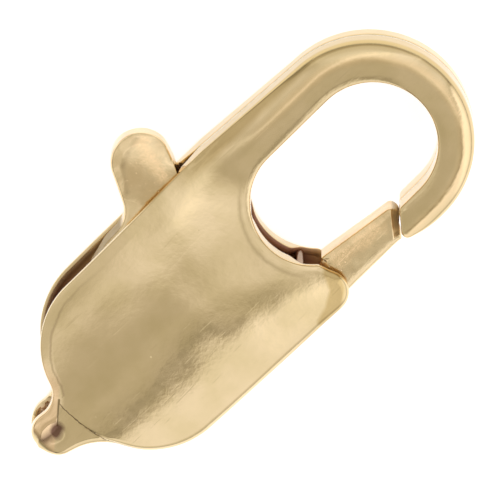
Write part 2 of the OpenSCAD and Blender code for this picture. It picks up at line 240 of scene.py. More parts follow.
def bodyOutline():
    # matched stations on the two sides of the outline, the tab's side first
    s = bodySize
    nub = (s["nubX"], s["nubY"])
    sides = []
    for shoulderY, hollowR, side, end in (
            (s["shoulderTop"], s["topHollowR"], -1, 90), (s["shoulderLow"], s["lowHollowR"], 1, 270)):
        shoulder = (s["shoulderX"], shoulderY)
        hollow = touching(shoulder, s["shoulderR"], nub, s["nubR"], hollowR, side)
        a, b, c = angle(nub, hollow), angle(hollow, shoulder), angle(shoulder, hollow)
        if side == 1:
            a, c = a % 360, c % 360
        sides.append(joined(
            arc(nub, s["nubR"], 180, a), arc(hollow, hollowR, a - 180, b),
            arc(shoulder, s["shoulderR"], c, end, 200)))
    start = s["nubX"] - s["nubR"]
    xs = start + (s["shoulderX"] - start) * (1 - np.cos(np.linspace(0, np.pi / 2, 3000)))
    top, low = [np.interp(xs, line[:, 0], line[:, 1]) for line in sides]
    rise = np.maximum(np.abs(np.diff(top)), np.abs(np.diff(low)))
    run = np.r_[0, np.cumsum(np.sqrt(np.diff(xs) ** 2 + rise ** 2))]
    tailX = np.interp(np.linspace(0, run[-1], 130), run, xs)
    tails = [np.stack([tailX, np.interp(tailX, xs, line)], 1) for line in (top, low)]
    lipArc = arc((s["lipX"] - s["lipR"], s["low"] + s["lipR"]), s["lipR"], -90, s["lipLean"])
    mouthArc = arc((0, 0), s["mouthR"], s["lipTurn"], 90, 400)
    turns = np.linspace(s["lipTurn"], 90, 400)

    def mouth(start, end):
        return mouthArc[(turns <= start + 1e-9) & (turns >= end - 1e-9)]

    outer = np.array([s["hookX"], s["hookY"]])
    tipTurn = angle(outer, (s["tipX"], s["hookY"] - np.sqrt(s["hookR"] ** 2 - (s["hookX"] - s["tipX"]) ** 2)))
    outerArc = arc(outer, s["hookR"], 90, tipTurn % 360 - 360, 400)
    # the tip's end face runs along lean; a circle of radius tipCorner rounds it at each side
    tip, cornerR = np.array([s["tipX"], s["tipY"]]), s["tipCorner"]
    lean = np.array([s["tipInX"], -s["mouthR"]]) - tip
    lean /= np.linalg.norm(lean)
    intoMetal = np.array([lean[1], -lean[0]])
    start = tip + cornerR * intoMetal - outer
    back = start @ lean
    cornerC = outer + start + lean * (-back - np.sqrt(back ** 2 - start @ start + (s["hookR"] - cornerR) ** 2))
    endTurn = angle((0, 0), -intoMetal)
    corner = arc(cornerC, cornerR, angle(outer, cornerC) % 360 - 360, endTurn - 360, 14)
    innerY = -s["mouthR"] - cornerR
    innerC = (s["tipX"] + (cornerR - (innerY - s["tipY"]) * intoMetal[1]) / intoMetal[0], innerY)
    innerCorner = arc(innerC, cornerR, 90, endTurn, 14)
    innerEnd = innerCorner[0] + (0.2, 0)

    def topLine(x0, x1):
        # level as far as the root, and then down to the hook's arc
        fall = (s["hookY"] + s["hookR"] - s["top"]) / (s["hookX"] - s["rootX"])
        return np.array([(x, s["top"] + max(x - s["rootX"], 0) * fall) for x in (x0, x1)])

    x0, x1, x2, x3, x4 = s["stations"]
    runs = [
        (topLine(x0, x1), joined(tails[1][-1], lipArc[0]), 56),
        (topLine(x1, x2), lipArc, 26),
        (topLine(x2, x3), joined(lipArc[-1], mouthArc[0]), 8),
        (topLine(x3, x4), mouth(s["lipTurn"], 180), 34),
        (topLine(x4, s["rootX"]), mouth(180, s["rootTurn"]), 24),
        (topLine(s["rootX"], 0), mouth(s["rootTurn"], 90), 30),
        (topLine(0, s["hookX"]), [(0, s["mouthR"]), (s["bendX"], s["mouthR"])], 30),
        (outerArc[:352], arc((s["bendX"], 0), s["mouthR"], 90, -90, 300), 110),
        (outerArc[351:382], [(s["bendX"], -s["mouthR"]), innerEnd], 24),
        (joined(outerArc[381], corner, corner[-1] + 0.12 * lean),
         joined(innerEnd, innerCorner, innerCorner[-1] - 0.12 * lean), 24),
    ]
    return [softened(line, 3) for line in matched(runs, tails)]


def relaxed(grid, passes=400):
    # Winslow's smoothing: a p_ss - 2 b p_st + c p_tt = 0, with a = |p_t|^2, b = p_s . p_t and c = |p_s|^2
    grid = grid.copy()
    for _ in range(passes):
        s = (grid[2:, 1:-1] - grid[:-2, 1:-1]) / 2
        t = (grid[1:-1, 2:] - grid[1:-1, :-2]) / 2
        st = (grid[2:, 2:] - grid[2:, :-2] - grid[:-2, 2:] + grid[:-2, :-2]) / 4
        a, b, c = [np.sum(u * v, axis=-1, keepdims=True) for u, v in ((t, t), (s, t), (s, s))]
        sums = a * (grid[2:, 1:-1] + grid[:-2, 1:-1]) + c * (grid[1:-1, 2:] + grid[1:-1, :-2])
        new = (sums - 2 * b * st) / (2 * (a + c) + 1e-12)
        grid[1:-1, 1:-1] = new
    return grid


def across(left, right, rimLeft, rimRight, limit, middle, pull=0.35, flatEnd=10):
    # rim rows hold an edge's round r, and the width W and depth H of the bevel behind it; limit is their most.
    # Rings follow both edges, at distances r (1 - cos a) and then on to W, and relaxed cubic lines join them:
    # p(t) = h00 L + h10 k nL + h01 R - h11 k nR
    nLeft, nRight = inward(left, -1), inward(right, 1)
    wide = np.minimum(0.34 * np.linalg.norm(left - right, axis=1), limit)
    turn = np.linspace(0, np.pi / 2, 8)
    sides = []
    for edge, normal, rim in ((left, nLeft, rimLeft), (right, nRight, rimRight)):
        r, w, h = [np.minimum(rim[:, i], wide)[:, None] for i in range(3)]
        w = np.maximum(w, r * 1.05)
        rings = np.concatenate([
            r * (1 - np.cos(turn)), r + (w - r) * np.array([0.33, 0.66, 1.0]),
            w * 1.15 + 0.01 * (wide > 0)[:, None]], axis=1)
        fall = roundFall(rings, r) + h * np.maximum(1 - rings / np.maximum(w, 1e-6), 0)
        sides.append((edge[:, None] + normal[:, None] * rings[:, :, None], fall))
    (fromLeft, fallLeft), (fromRight, fallRight) = sides
    a, b = fromLeft[:, -1:], fromRight[:, -1:]
    gap = np.linalg.norm(b - a, axis=2)[:, :, None]
    pull = pull * np.clip((len(left) - 1 - np.arange(len(left))) / flatEnd, 0, 1)[:, None, None]
    t = np.linspace(0, 1, middle + 2)[None, :, None]
    h00, h10 = 2 * t ** 3 - 3 * t ** 2 + 1, t ** 3 - 2 * t ** 2 + t
    h01, h11 = -2 * t ** 3 + 3 * t ** 2, t ** 3 - t ** 2
    lines = h00 * a + h10 * pull * gap * nLeft[:, None] + h01 * b - h11 * pull * gap * nRight[:, None]
    points = np.concatenate([fromLeft, relaxed(lines)[:, 1:-1], fromRight[:, ::-1]], axis=1)
    drop = np.concatenate([fallLeft, np.zeros((len(left), middle)), fallRight[:, ::-1]], axis=1)
    # distance from the left edge, as far as its last ring
    away = np.full(drop.shape, 9.0)
    away[:, :fallLeft.shape[1]] = np.linalg.norm(fromLeft - left[:, None], axis=2)
    folds = np.cross(np.diff(points, axis=0)[:, :-1], np.diff(points, axis=1)[:-1]) > 1e-9
    print("grid", points.shape, "folds", int(folds.sum()))
    return points, drop, away


def rimRows(count, keys):
    # r, W and H for each station, between rows of (station, r, W, H)
    at = [key[0] for key in keys]
    return np.stack([np.interp(np.arange(count), at, [key[i] for key in keys]) for i in (1, 2, 3)], 1)


def rowAt(line, x, y):
    # the station nearest to a point
    return int(np.argmin(np.hypot(line[:, 0] - x, line[:, 1] - y)))


def rowPast(line, x):
    # the first station past x
    return int(np.argmax(line[:, 0] > x))


def mouthRow(turn):
    return rowAt(right, *arc((0, 0), bodySize["mouthR"], turn, turn, 1)[0])


left, right = bodyOutline()
nLeft, nRight = inward(left, -1), inward(right, 1)
rows = len(left)
last = rows - 1
slotRow, hollowRow, flankRow = (rowPast(left, bodySize[key]) for key in ("slotX", "hollowX", "flankX"))
shoulderRow = rowPast(left, bodySize["shoulderX"] - 0.02)
lipRow = rowPast(right, bodySize["sideEnd"])
lipStart = rowAt(right, bodySize["lipX"] - bodySize["lipR"], bodySize["low"])
mouthStart, rootRow, mouthEnd = (mouthRow(turn) for turn in (bodySize["lipTurn"], bodySize["rootTurn"], 90))
bendStart, bendEnd = (rowAt(right, bodySize["bendX"], y) for y in (bodySize["mouthR"], -bodySize["mouthR"]))
tipRim = [(last - 5, 0.08, 0.16, 0.03), (last, 0.06, 0.08, 0.02)]
rimLeft = rimRows(rows, [
    (0, 0.14, 0.3, 0.1), (slotRow - 14, 0.1, 0.5, 0.1), (slotRow + 4, 0.08, 0.5, 0.1),
    (flankRow, 0.07, 0.5, 0.05), (shoulderRow, 0.07, 0.5, 0.035), (rootRow, 0.08, 0.4, 0.04),
    (mouthEnd, 0.16, 0.3, 0.03), (bendStart, 0.34, 0.44, 0.01), (bendEnd, 0.34, 0.44, 0.01),
    (last - 26, 0.2, 0.4, 0.03), (last - 12, 0.1, 0.2, 0.05), *tipRim])
rimRight = rimRows(rows, [
    (0, 0.16, 0.17, 0.0), (slotRow, 0.3, 0.32, 0), (shoulderRow, 0.5, 0.52, 0), (lipStart - 8, 0.5, 0.52, 0),
    (lipStart + 6, 0.3, 0.34, 0.02), (mouthStart, 0.1, 0.2, 0.05), (rootRow, 0.1, 0.22, 0.06),
    (mouthEnd, 0.12, 0.34, 0.01), (bendStart, 0.12, 0.32, 0.02), (bendEnd, 0.12, 0.4, 0.03),
    (last - 26, 0.12, 0.34, 0.02), (last - 12, 0.1, 0.2, 0.04), *tipRim])
tipLimit = np.interp(np.arange(rows), (last - 26, last - 12, last - 5, last), (1, 0.2, 0.16, 0.004))
frontPlan, rimDrop, edgeAway = across(left, right, rimLeft, rimRight, tipLimit, 52)
dimple = {"x": -15.5, "y": 0.8, "half": 0.3, "nubHalf": 0.6, "depth": 0.16}


def tailPocket(x, y):
    # the pocket over the eye: a dimple drawn out toward the nub's end, d exp(-u^2 - v^2)
    u = (x - dimple["x"]) / np.where(x > dimple["x"], dimple["half"], dimple["nubHalf"])
    return dimple["depth"] * np.exp(-u ** 2 - ((y - dimple["y"]) / dimple["half"]) ** 2)


def bodyHalf(name, side):
    s = bodySize
    x, y = frontPlan[..., 0], frontPlan[..., 1]
    wide = np.linalg.norm(left - right, axis=1)
    # the tip's end face has a small round of its own
    tip = np.array([s["tipX"], s["tipY"]])
    lean = np.array([s["tipInX"], -s["mouthR"]]) - tip
    lean /= np.linalg.norm(lean)
    fromEnd = (x - tip[0]) * lean[1] - (y - tip[1]) * lean[0]
    endFall = np.where((y < -1.5) & (x > 1), roundFall(fromEnd, s["endR"]), 0)
    z = frontHeight(x, y) - rimDrop - endFall - tailPocket(x, y)
    front = np.stack([x, y, z], -1)
    station = np.arange(rows)
    hollow = (station > hollowRow) & (station < rootRow)

    def skin(p):
        # underside: one sheet below the front in the hollow, and the eye's tunnel in the tail
        tunnel = np.sqrt(np.maximum(s["eyeR"] ** 2 - (p[..., 0] - s["eyeX"]) ** 2, 0))
        under = frontHeight(p[..., 0], p[..., 1]) - s["sheet"]
        return np.where(hollow if p.ndim == 2 else hollow[:, None], under, tunnel)

    # the walls reach the middle plane where the side is closed, and are one sheet deep where it is open
    walls, feet = [], []
    for edge, normal, column, openFrom in ((left, nLeft, 0, slotRow), (right, nRight, -1, lipRow)):
        isOpen = (station > openFrom) & (station < rootRow)
        top = front[:, column]
        under = skin(edge)
        # the slot tapers to its right end, and the mouth's rim is turned in a little
        if column == 0:
            taper = s["turnedIn"] * step(edge[:, 0], -3.4, -3.2) + 0.4 * step(edge[:, 0], -3.2, -2.0)
        else:
            turn = np.degrees(np.arctan2(edge[:, 1], edge[:, 0])) % 360
            taper = s["turnedIn"] * step(-turn, -214, -200) * step(turn, s["rootTurn"], s["rootTurn"] + 16)
        low = np.where(isOpen, np.minimum(under, top[:, 2] - 0.05) * (1 - taper), np.where(hollow, 0.0, under))
        tuck = np.minimum(np.where(isOpen, s["openTuck"], s["closedTuck"]), 0.2 * wide)[:, None]
        foot = np.column_stack([edge + normal * tuck, low])
        shin = np.column_stack([edge, low + np.minimum(s["wallFoot"], 0.3 * (top[:, 2] - low))])
        t = np.linspace(0, 1, 6)[None, :-1, None]
        walls.append(np.concatenate([foot[:, None], shin[:, None] * (1 - t) + top[:, None] * t], axis=1))
        deep = edge + normal * np.minimum(s["sheet"], 0.3 * wide)[:, None]
        over = skin(deep)
        feet.append(np.stack([np.column_stack([deep, np.minimum(low, over)]), np.column_stack([deep, over])], 1))
    keep = np.r_[11:x.shape[1] - 11:4]
    back = np.stack([x[:, keep], y[:, keep], skin(frontPlan[:, keep])], -1)[:, ::-1]
    grid = np.concatenate([walls[0], front, walls[1][:, ::-1], feet[1], back, feet[0][:, ::-1]], axis=1)
    grid[..., 2] *= side
    # recess sets the painted shade: 1 on the hollow's inner skin, part way in the tunnel, and 0 on the front and the
    # walls;
    # edgeAway is the distance in mm from the front's edge on the tab's side
    lead = walls[0].shape[1]
    inside = lead + x.shape[1] + walls[1].shape[1]
    recess = np.repeat(hollow.astype(float)[:, None], grid.shape[1], axis=1)
    recess[station <= hollowRow, inside:] = 0.55
    recess[:, :inside - 1] = 0
    margin = np.full(grid.shape[:2], 9.0)
    margin[:, lead:lead + x.shape[1]] = edgeAway
    return piece(name, grid, "shell", ["body"], ends=(False, True), marks={"recess": recess, "edgeAway": margin})


bodyFront = bodyHalf("bodyFront", 1)
bodyBack = bodyHalf("bodyBack", -1)
print("body built", rootRow, slotRow, hollowRow, lipRow)

# Lever: the gate arm, the plate that turns between the body's plates, and the thumb tab
leverSize = {
    "pivotX": -3.37, "pivotY": -3.055, "rootR": 0.89, "half": 0.85, "plateHalf": 0.78,
    # gate
    "gateLow": -4.005, "gateRoot": 1.9, "gateTip": 1.4, "gateEndX": 1.58, "tipTurn": 50, "tipRound": 0.38,
    "stepLen": 0.36, "stepHalf": 0.5, "notchR": 1.215, "notchOutR": 1.855, "notchTurn": 29.6,
    # tab, with the fin at its foot
    "tabX": -4.23, "tabY": 6.545, "tabR": 1.36, "lean": 63, "finR": 1.3, "finX": -9.17, "finY": 4.795,
    "finWide": 0.8, "deep": 4.5, "apex": 97, "edgeR": 0.14, "crown": (0.04, 0.11), "bevel": (0.04, 0.09),
    "bevelWide": (0.2, 0.24), "ridge": 0.14,
}


def doubled(front):
    # a closed loop round a bar that is the same on both faces: front, wall, back, wall
    back = front[:, ::-1] * (1, 1, -1)
    t = np.linspace(0, 1, 5)[None, 1:-1, None]
    near = front[:, None, -1] * (1 - t) + back[:, None, 0] * t
    farWall = back[:, None, -1] * (1 - t) + front[:, None, 0] * t
    return np.concatenate([front, near, back, farWall], axis=1)


def bar(left, right, rimLeft, rimRight, limit, middle, height):
    points, drop, _ = across(left, right, rimLeft, rimRight, limit, middle)
    x, y = points[..., 0], points[..., 1]
    return doubled(np.dstack([x, y, np.maximum(height(x, y) - drop, 0.05)]))


def leverGate():
    s = leverSize
    turn = np.radians(s["tipTurn"])
    low = s["gateLow"]
    inTip, inRoot = low + s["gateTip"], low + s["gateRoot"] - 0.02
    cy = inTip - s["tipRound"]
    cx = s["gateEndX"] + (cy - bodySize["tipY"]) / np.tan(turn) - s["tipRound"] / np.sin(turn)
    end = np.array([s["gateEndX"] + (low - bodySize["tipY"]) / np.tan(turn), low])
    pivot = np.array([s["pivotX"], s["pivotY"]])
    notch = joined(
        pivot + s["notchR"] * np.array([np.cos(0.9), np.sin(0.9)]), arc(pivot, s["notchR"], 50, s["notchTurn"], 12),
        arc(pivot, s["notchOutR"], s["notchTurn"], 31, 4))
    left, right = [softened(line, 3) for line in matched([
        (joined((-4.0, inRoot - 0.28), (-3.0, inRoot), notch[0]), [(-4.0, low + 0.3), (-3.4, low)], 24),
        (notch, [(-3.4, low), (-2.2, low)], 40),
        (joined(notch[-1], (-1.5, inRoot)), [(-2.2, low), (-1.7, low)], 8),
        ([(-1.5, inRoot), (cx, inTip)], [(-1.7, low), end - (0.45, 0)], 70),
        (arc((cx, cy), s["tipRound"], 90, s["tipTurn"] - 90, 40), [end - (0.45, 0), end], 30),
    ])]
    n = len(left)
    rimIn = rimRows(n, [
        (0, 0.1, 0.2, 0.02), (80, 0.12, 0.34, 0.04), (n - 34, 0.12, 0.34, 0.04), (n - 12, 0.1, 0.2, 0.02),
        (n - 1, 0.06, 0.08, 0.02)])
    rimOut = rimRows(n, [
        (0, 0.1, 0.2, 0.02), (80, 0.24, 0.34, 0.02), (n - 34, 0.24, 0.34, 0.02), (n - 12, 0.18, 0.24, 0.02),
        (n - 1, 0.06, 0.08, 0.02)])
    limit = np.interp(np.arange(n), (n - 34, n - 12, n - 1), (1, 0.2, 0.08))

    def facet(x, y):
        # 1 at the end face and 0 from stepLen on, between the arm's inner edge and near its outer one
        fromEnd = -(x - end[0]) * np.sin(turn) + (y - end[1]) * np.cos(turn)
        return np.clip(1 - fromEnd / s["stepLen"], 0, 1) * step(x, -0.5, 0.4) * step(y, low + 0.2, low + 0.3)

    def height(x, y):
        # a low crown along the arm, and a step down toward the end face
        mid = low + 0.62 * (s["gateRoot"] + (s["gateTip"] - s["gateRoot"]) * step(x, -1.6, 1.6))
        crown = s["half"] - np.where(y > mid, 0.05, 0.018) * ((y - mid) / 0.7) ** 2 - 0.03 * step(x, -0.5, 1.6)
        return crown - (s["half"] - s["stepHalf"]) * facet(x, y)

    grid = bar(left, right, rimIn, rimOut, limit, 34, height)
    # painted shadow: the recess mark gives the gate's stepped-down end the brown recess shade
    recess = np.minimum(facet(grid[..., 0], grid[..., 1]) * 3, 1) * 0.6
    return piece("leverGate", grid, "lever", ["lever"], marks={"recess": recess})


def tabSide():
    # the tab's leaning side: its direction, its upper end, and where its foot's round meets the body's top
    s = leverSize
    turn = np.radians(s["lean"])
    along = np.array([np.cos(turn), np.sin(turn)])
    upper = np.array([s["tabX"], s["tabY"]]) + s["tabR"] * np.array([-along[1], along[0]])
    corner = upper - along * (upper[1] - bodySize["top"]) / along[1]
    return along, upper, corner[0] - s["finR"] * np.tan(turn / 2)


def leverPlate():
    s = leverSize
    high = bodySize["top"] - 0.3
    footX = tabSide()[2]
    endX = s["pivotX"] - 0.06
    left = joined((s["finX"], s["finY"] - 0.5), (footX - 0.6, high - 0.32), (footX + 0.5, high), (endX, high))
    right = joined(
        (s["finX"], s["finY"] - s["finWide"]), (s["pivotX"] - s["rootR"], s["pivotY"] + s["rootR"] / 2),
        (endX, s["pivotY"] - 0.5))
    left, right = softened(resampled(left, 90), 2), softened(resampled(right, 90), 4)
    rim = rimRows(90, [(0, 0.1, 0.12, 0), (89, 0.1, 0.12, 0)])
    grid = bar(left, right, rim, rim, 0.4, 12, lambda x, y: np.full_like(x, s["plateHalf"]))
    return piece("leverPlate", grid, "lever", ["lever"])


def leverTab():
    s = leverSize
    top, deep = bodySize["top"], s["deep"]
    along, upper, footX = tabSide()
    c = (s["tabX"], s["tabY"])
    hollow = np.array([footX, top + s["finR"]])
    endX = s["pivotX"] - 0.06
    left, right = matched([
        (joined((s["finX"], s["finY"]), (footX - 0.65, top - 0.03), (footX, top)),
         [(s["finX"] + 0.02, deep), (footX, deep)], 24),
        (arc(hollow, s["finR"], -90, -90 + s["lean"], 60), [(footX, deep), (endX - 0.1, deep)], 50),
        (joined(hollow + s["finR"] * np.array([along[1], -along[0]]), upper),
         [(endX - 0.1, deep), (endX, top), (-3.1, 5.8), (-2.9, 6.35)], 60),
        (arc(c, s["tabR"], s["lean"] + 90, s["apex"], 50), arc(c, s["tabR"], -8, s["apex"], 60), 70),
    ], spread=np.sin(np.linspace(0, np.pi / 2, 70)))
    left, right = softened(left, 3), softened(right, 12)
    right[-1] = left[-1]
    # straight chords, closer together near both edges: L + (R - L) (1 - cos a) / 2
    share = (1 - np.cos(np.linspace(0, np.pi, 57))) / 2
    grid = left[:, None] + (right - left)[:, None] * share[None, :, None]
    edge = np.vstack([left, right[110:]])
    away = np.sqrt(((grid[:, :, None] - edge[None, None]) ** 2).sum(-1).min(-1))
    x, y = grid[..., 0], grid[..., 1]
    # a thumb-worn crown on a slanting line, a bevel round the knob's end and a soft ridge, with a round edge:
    # h - a u^2 - bevel - c ridge - (r - sqrt(r^2 - (r - d)^2)), d the distance from the outline
    u = np.clip((x - s["tabX"] + 0.45 + 0.5 * (y - 6.2)) / s["tabR"], -1, 1.3)
    knob, up = step(y, 6.0, 6.7), step(y, 5.0, 6.0)
    crown, bevel, wide = (s[key][0] + s[key][1] * rise for key, rise in (
        ("crown", up), ("bevel", knob), ("bevelWide", knob)))
    ridge = np.clip((s["tabX"] - 0.5 - x) * 0.9 + (y - 6.6) * 0.3, 0, 1)
    ridge = s["ridge"] * (np.sqrt(ridge ** 2 + 0.04) - 0.2) * up
    bevel = bevel * np.maximum(1 - away / wide, 0)
    z = s["half"] + 0.03 - crown * u ** 2 - bevel - ridge - roundFall(away, s["edgeR"])
    grid = doubled(np.dstack([x, y, z]))
    # painted shade: the tab's foot, where it goes in under the body's plates, gets the brown recess shade
    recess = 0.95 * (1 - step(grid[..., 0], footX + 0.2, footX + 0.7)) * (np.abs(grid[..., 2]) < s["half"] - 0.1)
    return piece("leverTab", grid, "lever", ["lever"], ends=(True, False), marks={"recess": recess})


lever = [leverGate(), leverPlate(), leverTab()]
print("lever built")

# Camera: square to a plan that is tipped by tilt and turned by turn, with no perspective
camera = {"turn": 44.4955, "tilt": 15.5775, "pxPerMm": 22.745, "x0": 220.221, "y0": 219.82}


def placeCamera():
    turn, tilt = np.radians(camera["turn"]), np.radians(camera["tilt"])
    u = np.array([np.cos(turn), np.sin(turn), 0])
    r = np.array([np.sin(turn), -np.cos(turn), 0])
    z = np.array([0, 0, 1.0])
    up = u * np.cos(tilt) - z * np.sin(tilt)
    look = z * np.cos(tilt) + u * np.sin(tilt)
    middle = r * (250 - camera["x0"]) / camera["pxPerMm"] + up * (camera["y0"] - 250) / camera["pxPerMm"]
    data = bpy.data.cameras.new("camera")
    data.type = "ORTHO"
    data.ortho_scale = 500 / camera["pxPerMm"] / 1000
    data.clip_start = 0.001
    data.clip_end = 10
    thing = bpy.data.objects.new("camera", data)
    place = np.eye(4)
    place[:3, 0], place[:3, 1], place[:3, 2] = r, up, look
    place[:3, 3] = (middle + look * 150) / 1000
    thing.matrix_world = Matrix(place.tolist())
    bpy.context.scene.collection.objects.link(thing)
    bpy.context.scene.camera = thing


placeCamera()

floorHalf = 1.5
floorMesh = bpy.data.meshes.new("floor")
floorCorners = [(x * floorHalf, y * floorHalf, 0) for x, y in ((-1, -1), (1, -1), (1, 1), (-1, 1))]
floorMesh.from_pydata(floorCorners, [], [(0, 1, 2, 3)])
floor = bpy.data.objects.new("floor", floorMesh)
bpy.context.scene.collection.objects.link(floor)
floor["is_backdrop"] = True
print("camera and floor placed")


def linear(code):
    # an sRGB hex code as linear red, green, blue and alpha
    values = [int(code[i:i + 2], 16) / 255 for i in (0, 2, 4)]
    return [v / 12.92 if v <= 0.04045 else ((v + 0.055) / 1.055) ** 2.4 for v in values] + [1]


def node(tree, kind, values=None):
    # adds a node; a value that is another node's output is linked, and any other sets an input or an option
    new = tree.nodes.new(kind)
    for key, value in (values or {}).items():
        if isinstance(value, bpy.types.NodeSocket):
            tree.links.new(value, new.inputs[key])
        elif isinstance(key, str) and hasattr(new, key):
            setattr(new, key, value)
        else:
            new.inputs[key].default_value = value
    return new


class Maths:
    # short ways to add the nodes of one tree; most give the new node's output
    def __init__(self, tree):
        self.tree = tree

    def run(self, operation, *values):
        return node(self.tree, "ShaderNodeMath", {"operation": operation, **dict(enumerate(values))}).outputs[0]

    def times(self, first, *others):
        for other in others:
            first = self.run("MULTIPLY", first, other)
        return first

    def hypot(self, a, b):
        return self.run("SQRT", self.run("ADD", self.times(a, a), self.times(b, b)))

    def off(self, value, centre, wander=0.0):
        # distance of a value, moved by wander, from its centre
        return self.run("ABSOLUTE", self.run("ADD", self.run("SUBTRACT", value, centre), wander))

    def between(self, value, low, high, start, end, kind="LINEAR"):
        # start at low and before it, end at high and after it, and a straight or smooth rise between
        return node(self.tree, "ShaderNodeMapRange", {
            "interpolation_type": kind, "From Min": low, "From Max": high, "To Min": start, "To Max": end,
            0: value}).outputs[0]

    def blend(self, factor, a, b):
        return node(self.tree, "ShaderNodeMix", {"data_type": "RGBA", 0: factor, 6: a, 7: b}).outputs[2]

    def noise(self, point, scale, detail, rough=0.55):
        return node(self.tree, "ShaderNodeTexNoise", {
            "Scale": scale, "Detail": detail, "Roughness": rough, "Vector": point}).outputs[0]

    def shader(self, values, height=None):
        # the Principled shader and the output, with a bump from a height in millimetres
        if height is not None:
            bump = node(self.tree, "ShaderNodeBump", {"Strength": 1.0, "Distance": 0.001, "Height": height})
            values = dict(values, Normal=bump.outputs[0])
        shader = node(self.tree, "ShaderNodeBsdfPrincipled", values)
        node(self.tree, "ShaderNodeOutputMaterial", {"Surface": shader.outputs[0]})


def newMaterial(name, perMetre=(1000, 1000, 1000)):
    # a material with an empty tree, and the surface point in it in millimetres
    material = bpy.data.materials.new(name)
    material.use_nodes = True
    material.node_tree.nodes.clear()
    place = node(material.node_tree, "ShaderNodeTexCoord")
    mm = node(material.node_tree, "ShaderNodeMapping", {"Scale": perMetre, "Vector": place.outputs["Object"]})
    return material, mm.outputs[0], Maths(material.node_tree)


# What all the gold shares. A noise is its scale per mm, its detail and for some its roughness, and a range is where
# the effect starts and ends. The painted shade in the recesses is deepest in the tunnel and in the hollow before the
# mouth
goldCommon = {
    "driftNoise": (0.45, 3), "driftRange": (0.38, 0.62), "roughNoise": (2.2, 4), "roughRange": (0.35, 0.65),
    "hairNoise": (1.6, 2), "hairRange": (0.66, 0.74), "hairTurn": 0.5, "hairScale": (0.25, 6.0, 1.0),
    "pitNoise": (0.9, 2), "pitRange": (0.5, 0.6), "speckNoise": (9.0, 5, 0.7), "speckRange": (0.48, 0.7),
    "recessShadeShare": 0.9, "recessMetal": 0.1, "recessRough": 0.3, "tunnelX": (-8.0, -11.5), "hollowX": (-6.6, -5.9),
    "mouthX": (-2.6, -1.7), "mouthDeep": 0.1, "wanderNoise": (1.7, 3), "wander": 0.7, "crownWander": 0.3,
    "tanWander": 0.15, "lineWander": 0.2, "creaseWander": 0.12, "wearAndHighlightEdge": 0.25, "tanEdge": 0.6,
    "creaseShadeTint": "6A5028", "creaseDepth": 0.01, "creaseZ": 0.55,
}


